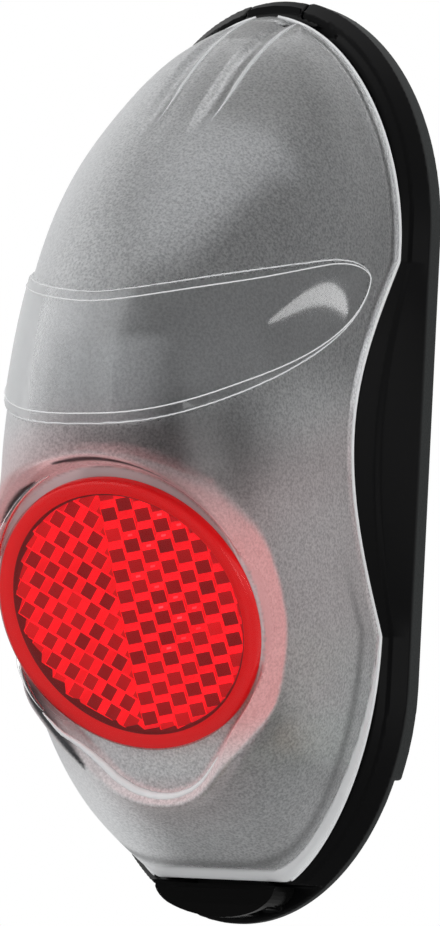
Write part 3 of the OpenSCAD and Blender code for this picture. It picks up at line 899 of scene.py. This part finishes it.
rng = np.random.default_rng(7)
prism_points, prism_faces, prism_kinds, prism_shade = [], [], [], []
for polygon, family, right_half in prism_facets():
    first, sides = len(prism_points), len(polygon)
    shade = rng.uniform(0, 1)
    prism_points += polygon
    middle = sum(polygon) / sides
    kind = family + 3 * right_half
    share = DARK_SHARE if family == DARK_FAMILY else 1.0
    chance = rng.uniform(0, 1)
    # Near the rim, and here and there, a dark facet is faint; on the right some bright ones get a painted
    # glint, a glowing pink patch
    if family == DARK_FAMILY and (np.hypot(*middle[:2]) > FAINT_R or chance < FAINT_CHANCE):
        kind = FAINT
    if family == 0 and 0 < middle[0] < 9 and -5 < middle[1] < 11.5 and chance < GLINT_CHANCE:
        kind, share = GLINT, GLINT_SHARE
    if share < 1:
        prism_points += [middle + share * (p - middle) for p in polygon]
        prism_shade += [shade] * sides
        for i in range(sides):
            j = (i + 1) % sides
            prism_faces.append((first + i, first + j, first + sides + j, first + sides + i))
            prism_kinds.append(3 * right_half)
        first += sides
    prism_faces.append(tuple(range(first, first + sides)))
    prism_kinds.append(kind)
    prism_shade += [shade] * sides
prisms = mesh_piece("reflector_prisms", on_reflector(prism_points), prism_faces, smooth=False)
add_attribute(prisms, "shade", prism_shade)
# Facet families by number: name, darkest and lightest red, roughness, share of the painted glow for the
# light they return; dark and half are shaded copies of the bright red
FAMILIES = (
    ("bright", (0.75, 0.008, 0.025), (0.92, 0.016, 0.04), 0.25, 1.0),
    ("dark", (0.17, 0.002, 0.006), (0.34, 0.005, 0.012), 0.3, 0.5),
    ("half", (0.58, 0.005, 0.016), (0.76, 0.009, 0.026), 0.25, 1.0),
)
# The halves differ only in their painted glow; the glint is a painted highlight and the faint red a lighter
# painted shade
prism_looks = [
    facet_look(f"prism_{family}_{half}", dark, light, rough, share * painted_return_glow)
    for half, painted_return_glow in (("left", 0.76), ("right", 0.64))
    for family, dark, light, rough, share in FAMILIES
]
prism_looks.append(facet_look("prism_painted_glint", (0.85, 0.06, 0.1), (1.0, 0.2, 0.26), 0.25, 0.8))
prism_looks.append(facet_look("prism_faint", (0.36, 0.004, 0.01), (0.5, 0.006, 0.016), 0.25, 0.55))
for look in prism_looks:
    prisms.data.materials.append(look)
prisms.data.polygons.foreach_set("material_index", prism_kinds)
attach(prisms, "lens_cover")

cover_points, cover_faces = turned(
    [(0.01, 0), (REFL_R - 0.5, 0), (REFL_R - 0.2, -0.06), (REFL_R, -0.3), (REFL_R, FLOOR_Q + 0.05)], 128
)
cover = mesh_piece("reflector_face", on_reflector(cover_points), cover_faces)
cover.data.materials.append(reflector_cover_look())
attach(cover, "lens_cover")
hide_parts("reflector")

GROOVE_R = PRISM_R - 0.05
rim_profile = [(GROOVE_R, -2.4), (GROOVE_R, -1.0), (PRISM_R + 0.25, -0.6)]
rim_profile += [(REFL_R - 0.2, -0.35), (REFL_R - 0.04, -1.38)]
rim_points, rim_faces = turned(rim_profile, 128)
refl_rim = mesh_piece("reflector_rim", on_reflector(rim_points), rim_faces)
# The rim's red carries a little painted glow for returned light; the groove's red is painted shade
rim_red = facet_look("reflector_rim", (0.58, 0.005, 0.01), (0.66, 0.007, 0.014), 0.3, 0.3)
groove_painted_shade = moulded("reflector_groove_shade", (0.08, 0.002, 0.004), (0.14, 0.003, 0.006), 0.4)
refl_rim.data.materials.append(rim_red)
refl_rim.data.materials.append(groove_painted_shade)
# The first two steps of the profile are the groove around the prisms, near black as painted shade in that
# recess
in_groove = [int(i % (len(rim_profile) - 1) < 2) for i in range(len(rim_faces))]
refl_rim.data.polygons.foreach_set("material_index", in_groove)
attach(refl_rim, "lens_cover")

# Housing

BODY_W, END_H, TOP_MID, LOW_MID = 19.5, 26.5, 23.0, -24.5
FLANGE_T, LOW_FLANGE_T, HOUSING_D, WALL = 2.8, 1.4, 8.0, 1.6
BOX_INSET, BOX_LOW = 3.2, -35.0
FRONT_LEAN, FRONT_STEP, FRONT_GAP = 1.95, 0.3, 0.4
HINGE_Y, HINGE_Z, HINGE_FRONT = 1.6, 46.9, -1.7
LATCH_Y, LATCH_Z, BOLT_Z = -1.7, -48.3, -10.0


def outline_distance(x, z, inset):
    """Distance from the housing's outline, set in by a distance, below 0 inside."""
    w, h = BODY_W - inset, END_H - inset
    rise = z - np.clip(z, LOW_MID, TOP_MID)
    level = np.sqrt((x / w) ** 2 + (rise / h) ** 2 + 1e-9)
    slope = np.sqrt((x / w**2) ** 2 + (rise / h**2) ** 2) / level
    return (level - 1) / np.maximum(slope, 0.01)


def between(value, low, high):
    return np.maximum(low - value, value - high)


def block(p, low, high):
    """Distance from a box given by two corners in x, y, z."""
    spans = [between(value, a, b) for value, a, b in zip(p, low, high)]
    return np.maximum(np.maximum(spans[0], spans[1]), spans[2])


def rod(p, radius, front, back, x, z):
    """Distance from a rod along y."""
    return np.maximum(np.hypot(p[0] - x, p[2] - z) - radius, between(p[1], front, back))


def front_distance(x, d, z):
    """Distance from the front of the housing, which leans in from its edge to the rim of the lens."""
    top = rim_line(z) - FRONT_GAP
    share = np.clip(d / top, 0, 1)
    lean = FRONT_LEAN * share + FRONT_STEP * smooth_step(share, 0.58, 0.68)
    front = smooth_max(outline_distance(x, z, lean), d - top, 0.3)
    inner = BOX_INSET + 0.2 + 0.6 * (top - RIM_D + FRONT_GAP) / EAR_H
    front = smooth_max(front, -outline_distance(x, z, inner), 0.3)
    return np.maximum(front, -0.5 - d)


def housing_field(points):
    """Distance field of the housing, below 0 in its plastic, with rounded edges outside."""
    x, d, z = points.T
    y = -d
    p = (x, y, z)
    side = np.abs(x)
    flange = smooth_max(outline_distance(x, z, 0), between(y, 0, FLANGE_T), 0.3)
    flange = np.maximum(flange, -outline_distance(x, z, BOX_INSET + 0.2))
    flange = smooth_max(flange, -np.maximum(LOW_FLANGE_T - y, z - BOX_LOW), 0.3)
    plate = smooth_max(outline_distance(x, z, 0), between(y, 0, LOW_FLANGE_T), 0.7)
    plate = np.maximum(plate, z - BOX_LOW - WALL)
    box = smooth_max(outline_distance(x, z, BOX_INSET), between(y, LOW_FLANGE_T - 0.2, HOUSING_D), 1.0)
    box = smooth_max(box, BOX_LOW - z, 0.6)
    hollow = np.maximum(outline_distance(x, z, BOX_INSET + WALL), y - HOUSING_D + WALL)
    box = np.maximum(box, -np.maximum(hollow, BOX_LOW + WALL - z))
    front = np.maximum(front_distance(x, d, z), LENS_LOW - 0.2 - z)
    hinge = block(p, (-6.8, HINGE_FRONT, 42.8), (6.8, 5.4, 50))
    lean = np.maximum(0.2, FRONT_LEAN * np.clip(d / (RIM_D - FRONT_GAP), 0, 1))
    hinge = np.maximum(hinge, outline_distance(x, z, lean))
    boss = rod(p, 6.6, 3.2, 6.6, 0, BOLT_Z)
    peg = smooth_max(np.hypot(x, z - BOLT_Z - 20) - 1.5, between(y, 7.4, 13), 0.6)
    lugs = block((side, y, z), (3.5, -3, LATCH_Z - 1.1), (5.5, 0.4, LATCH_Z + 1.1))
    field = np.min([flange, plate, front, box, hinge, boss, peg, lugs], axis=0)
    for height, radius, front in ((-26, 2.2, 2.2), (27, 2.4, 2.4)):
        post = rod((side, y, z), radius, front, 6.6, 9.2, height)
        field = np.maximum(np.minimum(field, post), -rod((side, y, z), 0.9, 0, 7, 9.2, height))
    turn = np.arctan2(z - BOLT_Z, x)
    hexagon = np.hypot(x, z - BOLT_Z) * np.cos((turn + np.pi / 6) % (np.pi / 3) - np.pi / 6) - 4.2
    cuts = [
        block(p, (-3.55, -8, 43.8), (3.55, 4.2, 52)),
        block(p, (-8, -8, 44.4), (8, HINGE_FRONT, 52)),
        np.maximum(np.hypot(y - HINGE_Y, z - HINGE_Z) - 1.05, side - 5.3),
        np.maximum(np.hypot(y - LATCH_Y, z - LATCH_Z) - 0.85, side - 9),
        np.maximum(hexagon, between(y, 3, HOUSING_D - WALL)),
        rod(p, 2.98, 3, 9, 0, BOLT_Z),
        block(p, (-3.7, 3, BOX_LOW - 1), (3.7, 6.2, BOX_LOW + WALL + 1)),
    ]
    return np.maximum(field, -np.min(cuts, axis=0))


def cap_field(points):
    """Front of the lip above the hinge, which swings up with the lens."""
    x, d, z = points.T
    front = front_distance(x, d, z)
    wide = np.maximum(1.95 - d, np.abs(x) - 7.95)
    middle = np.maximum(-2.0 - d, np.abs(x) - 3.45)
    whole = np.maximum(np.minimum(wide, middle), 45.9 - z)
    inside = outline_distance(x, z, 0.2)
    body = np.maximum(inside, between(d, -2.0, 0))
    return np.maximum(np.minimum(np.maximum(front, inside), body), whole)


def housing_look():
    """Black plastic, smooth in front and etched on its sides and back."""
    look = Look("black_plastic")
    etched = look.attribute("etched")
    grain = look.noise(4.0, 3)
    front = look.tint(grain, (0.0022, 0.0022, 0.0024), (0.003, 0.003, 0.0032))
    side = look.tint(look.ramp(grain, 0, 1), (0.021, 0.023, 0.023), (0.033, 0.035, 0.035))
    shader = look.principled(
        Base_Color=look.blend(etched, front, side),
        Roughness=look.ramp(etched, 0.34, 0.55, 0, 1),
        Normal=look.bump(look.math("MULTIPLY", grain, etched), 0.02),
        Specular_IOR_Level=0.045,
    )
    return look.done(shader)


black = housing_look()
housing, housing_points = field_piece(
    "housing_shell", housing_field, (-20.1, -13.6, -51.6), (20.1, 11.3, 50.1), STEP
)
add_attribute(housing, "etched", smooth_step(-housing_points[:, 1], 0.1, 0.5))
housing.data.materials.append(black)
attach(housing, "housing")
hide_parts("housing_base")
cap, cap_points = field_piece("hinge_cap", cap_field, (-8.4, -2.6, 45.2), (8.4, 3.0, 49.8), 0.25)
cap.data.materials.append(black)
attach(cap, "lens_cover")

# Rubber pad

PAD_W, PAD_T, RIBS, RIB_PITCH, RIB_T, RIB_H, RIB_OVER = 15.6, 2.0, 9, 2.6, 1.3, 0.8, 0.5


def pad_field(points):
    """Distance field of the rubber pad, its ribs rounded at their ends."""
    x, d, z = points.T
    y = -d
    side, tall = np.abs(x), np.abs(z - BOLT_Z)
    half = RIBS / 2 * RIB_PITCH + RIB_T / 2 + 0.05
    plate = block((side, y, tall), (-1, HOUSING_D, -1), (PAD_W, HOUSING_D + PAD_T - RIB_H, half))
    row = (z - BOLT_Z) / RIB_PITCH + RIBS / 2
    off = np.abs(row - np.clip(np.round(row), 0, RIBS)) * RIB_PITCH - RIB_T / 2
    rib = smooth_max(side - PAD_W - RIB_OVER, between(y, HOUSING_D + 0.6, HOUSING_D + PAD_T), 1.6)
    rib = smooth_max(rib, off, 0.4)
    field = smooth_min(plate, rib, 0.25)
    return np.maximum(field, 3.2 - np.hypot(x, z - BOLT_Z))


PAD_STEP = 0.25
pad, pad_points = field_piece("rubber_pad", pad_field, (-16.6, -10.5, -23.0), (16.6, -7.5, 3.0), PAD_STEP)
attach(pad, "housing")
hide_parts("mudguard_pad")

# Finishes of the CAD nodes

gloss_black = moulded("gloss_black", (0.003,) * 3, (0.004,) * 3, 0.2, bump_mm=0.002, gloss=0.015)
rubber = moulded("black_rubber", (0.014, 0.014, 0.015), (0.022, 0.022, 0.023), 0.75, gloss=0.3)
pad.data.materials.append(rubber)
steel = metal("bolt_steel", (0.72, 0.73, 0.75), 0.3)
nickel = metal("contact_metal", (0.78, 0.78, 0.75), 0.25)
grey = moulded("grey_plastic", (0.04, 0.04, 0.042), (0.06, 0.06, 0.063), 0.5)
pale = moulded("pale_plastic", (0.03, 0.031, 0.033), (0.045, 0.046, 0.048), 0.5)
wrap = moulded("cell_wrap", (0.13, 0.24, 0.45), (0.17, 0.3, 0.52), 0.3)
board = moulded("board_green", (0.03, 0.16, 0.07), (0.05, 0.22, 0.1), 0.35)
lamp = moulded("lamp", (0.85, 0.82, 0.68), (0.92, 0.9, 0.78), 0.25)
chip = moulded("chip_black", (0.012, 0.012, 0.012), (0.02, 0.02, 0.02), 0.5)
tan = moulded("parts_tan", (0.5, 0.4, 0.24), (0.6, 0.5, 0.32), 0.45)
backing = moulded("backing_white", (0.68, 0.05, 0.05), (0.75, 0.06, 0.06), 0.5)


PANEL_W, PANEL_LOW, PANEL_TOP, PANEL_R, COVER_D, PANEL_T = 10.1, -17.5, 33.2, 8.5, 11.6, 0.55


def cover_panel():
    """Raised panel with round upper corners on the front of the battery cover."""
    turns = np.radians(np.linspace(0, 90, 13))
    arc_x = PANEL_W - PANEL_R + PANEL_R * np.cos(turns)
    arc_z = PANEL_TOP - PANEL_R + PANEL_R * np.sin(turns)
    right = [(PANEL_W, PANEL_LOW), *zip(arc_x, arc_z)]
    outline = np.array(right + [(-x, z) for x, z in right[::-1]])
    middle = np.array([0, 0.5 * (PANEL_LOW + PANEL_TOP)])
    inner = middle + (outline - middle) * 0.97
    count = len(outline)
    rings = [(outline, COVER_D - 0.1), (outline, COVER_D + 0.6 * PANEL_T), (inner, COVER_D + PANEL_T)]
    points = np.concatenate([np.insert(ring, 1, d, axis=1) for ring, d in rings])
    faces = ring_faces(3, count) + [tuple(range(2 * count, 3 * count))]
    return mesh_piece("cover_panel", placed(points), [f[::-1] for f in faces], smooth=False)


def panel_shadow_look():
    """Pale panel with a painted shadow over its lower part, whose edge rises to the right, and painted shade
    darkening it towards the right.
    """
    look = Look("cover_panel")
    place = look.place()
    # Edge of the painted shadow that the band casts, higher on the right
    edge = look.ramp(place[0], 0.029, 0.0375, -0.006, 0.006)
    upper = look.ramp(look.math("SUBTRACT", place[2], edge), 0, 1, -0.0008, 0.0008)
    marks = look.noise(0.3, 2)
    # Painted shade: the pale gets darker from left to right
    across = look.ramp(place[0], 1, 0.5, -0.006, 0.009)
    pale = look.tint(marks, (0.3, 0.305, 0.315), (0.35, 0.355, 0.365))
    pale = look.blend(across, (0.1, 0.102, 0.107, 1), pale)
    dark = look.tint(marks, (0.012, 0.012, 0.013), (0.02, 0.02, 0.021))
    colour = look.blend(upper, dark, pale)
    return look.done(look.principled(Base_Color=colour, Roughness=look.ramp(marks, 0.4, 0.55)))


panel = cover_panel()
panel.data.materials.append(panel_shadow_look())
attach(panel, "housing")


def guide_look():
    """Clear moulded guide with faint flow marks, dark and opaque on the right as painted shade."""
    look = Look("clear_guide")
    flow = look.noise(0.3, 2)
    # Painted shade: dark and opaque towards the right
    shaded_right = look.ramp(look.place()[0], 0, 1, -0.006, 0.004)
    clear = look.tint(flow, (0.8, 0.82, 0.83), (0.92, 0.93, 0.94))
    shader = look.principled(
        Base_Color=look.blend(shaded_right, clear, (0.03, 0.03, 0.032, 1)),
        Roughness=look.ramp(flow, 0.2, 0.35),
        Transmission_Weight=look.ramp(shaded_right, 1, 0, 0, 1),
        IOR=PLASTIC_IOR,
    )
    return look.done(shader)


FINISHES = {
    "hinge_lug": black, "latch_tongue": gloss_black,
    "mounting_bolt": steel, "carrier_screws": steel, "board_screws": steel,
    "battery_carrier": grey, "tact_switch": grey, "switch_button": grey,
    "battery_cover": pale, "guide_bracket": grey, "battery_left": wrap, "battery_right": wrap,
    "contact_top": nickel, "contact_bottom": nickel, "circuit_board": board, "main_led": lamp,
    "driver_chip": chip, "board_parts": tan, "light_guide": guide_look(), "reflector_backing": backing,
}  # fmt: skip
for name, finish in FINISHES.items():
    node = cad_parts[name]
    node.data.materials.clear()
    node.data.materials.append(finish)

# Floor, light and camera

FLOOR_Z, FLOOR_HALF = -0.13, 3.0
floor_corners = [(FLOOR_HALF * x, FLOOR_HALF * y, FLOOR_Z) for x, y in ((-1, -1), (1, -1), (1, 1), (-1, 1))]
floor = mesh_piece("floor", floor_corners, [(0, 1, 2, 3)])


def floor_look():
    """Pale paper, clear from below so that the light can be looked at from there."""
    look = Look("floor_paper")
    fibre = look.noise(0.2, 2)
    paper = look.node("BsdfDiffuse", {"Color": look.tint(fibre, (0.8, 0.8, 0.8), (0.83, 0.83, 0.83))})
    below = look.node("NewGeometry").outputs["Backfacing"]
    return look.done(look.mix(below, paper, look.clear((1, 1, 1))))


floor.data.materials.append(floor_look())


def studio():
    """White to the camera and through glass; in mirrors bright above and dim at the sides; soft as light."""
    look = Look("studio", world=True)
    paths = look.node("LightPath").outputs
    way = look.node("SeparateXYZ", {0: look.node("TexCoord").outputs["Generated"]}).outputs
    mirrored = look.ramp(way[2], 0.4, 1.4, -0.1, 0.9)
    soft = look.ramp(paths["Is Glossy Ray"], 0.55, mirrored, 0, 1)
    seen = look.math("MAXIMUM", paths["Is Camera Ray"], paths["Is Transmission Ray"])
    strength = look.ramp(seen, soft, 1.0, 0, 1)
    return look.done(look.node("Background", {"Color": (1, 1, 1, 1), "Strength": strength}))


scene.world = studio()


def softbox(name, place, aim, size, watts, shape="RECTANGLE"):
    """A soft lamp at a place, turned to what it lights."""
    light = bpy.data.lights.new(name, "AREA")
    light.shape = shape
    light.size, light.size_y = size
    light.energy = watts
    lamp_object = bpy.data.objects.new(name, light)
    lamp_object.location = place
    lamp_object.rotation_euler = (Vector(aim) - Vector(place)).to_track_quat("-Z", "Y").to_euler()
    scene.collection.objects.link(lamp_object)
    return lamp_object


CENTRE = (0, -0.02, 0.01)
softbox("key_left", (-0.8, -0.75, 0.45), CENTRE, (1.4, 1.4), 6.5)
softbox("top", (0.1, -0.3, 1.1), CENTRE, (1.2, 1.0), 3.5)
softbox("fill_right", (0.8, -0.3, -0.1), CENTRE, (0.7, 0.6), 3.5)
# A slim lamp behind on the right, mirrored as a leaf in the right end of the smooth band
leaf_spot, leaf_way = Vector((0.0165, -0.026, 0.0236)), Vector((0.802, 0.558, 0.214))
leaf_along = Vector((-0.232, 0.396, -0.112)).normalized()
leaf = softbox("leaf", leaf_spot + 0.5 * leaf_way, leaf_spot, (0.26, 0.0065), 0.023, "ELLIPSE")
leaf_back = leaf_way.normalized()
leaf_along = (leaf_along - leaf_back * leaf_along.dot(leaf_back)).normalized()
leaf.rotation_euler = Matrix((leaf_along, leaf_back.cross(leaf_along), leaf_back)).transposed().to_euler()

AZIMUTH, ELEVATION, ROLL = math.radians(29), math.radians(-5.4), math.radians(2.96)
DISTANCE, FOCAL_PX = 0.6, 5544.0
IMAGE_W, IMAGE_H = 440, 926
# Pixels of the outline's middle in the picture, right of and above the picture's middle
MIDDLE_RIGHT, MIDDLE_UP = 258.75 - IMAGE_W / 2, IMAGE_H / 2 - 451.47

right = Vector((math.cos(AZIMUTH), math.sin(AZIMUTH), 0))
to_camera = Vector(
    (math.sin(AZIMUTH) * math.cos(ELEVATION), -math.cos(AZIMUTH) * math.cos(ELEVATION), math.sin(ELEVATION))
)
upright = to_camera.cross(right)
right, upright = (
    right * math.cos(ROLL) + upright * math.sin(ROLL),
    upright * math.cos(ROLL) - right * math.sin(ROLL),
)
back = (to_camera + right * (MIDDLE_RIGHT / FOCAL_PX) + upright * (MIDDLE_UP / FOCAL_PX)).normalized()
right = (right - back * right.dot(back)).normalized()
upright = back.cross(right)
camera_data = bpy.data.cameras.new("camera")
camera_data.sensor_width = 36
camera_data.lens = 36 * FOCAL_PX / IMAGE_H
camera = bpy.data.objects.new("camera", camera_data)
turn = Matrix((right, upright, back)).transposed().to_4x4()
camera.matrix_world = Matrix.Translation(Vector(MIDDLE * MM) + to_camera * DISTANCE) @ turn
scene.collection.objects.link(camera)
scene.camera = camera
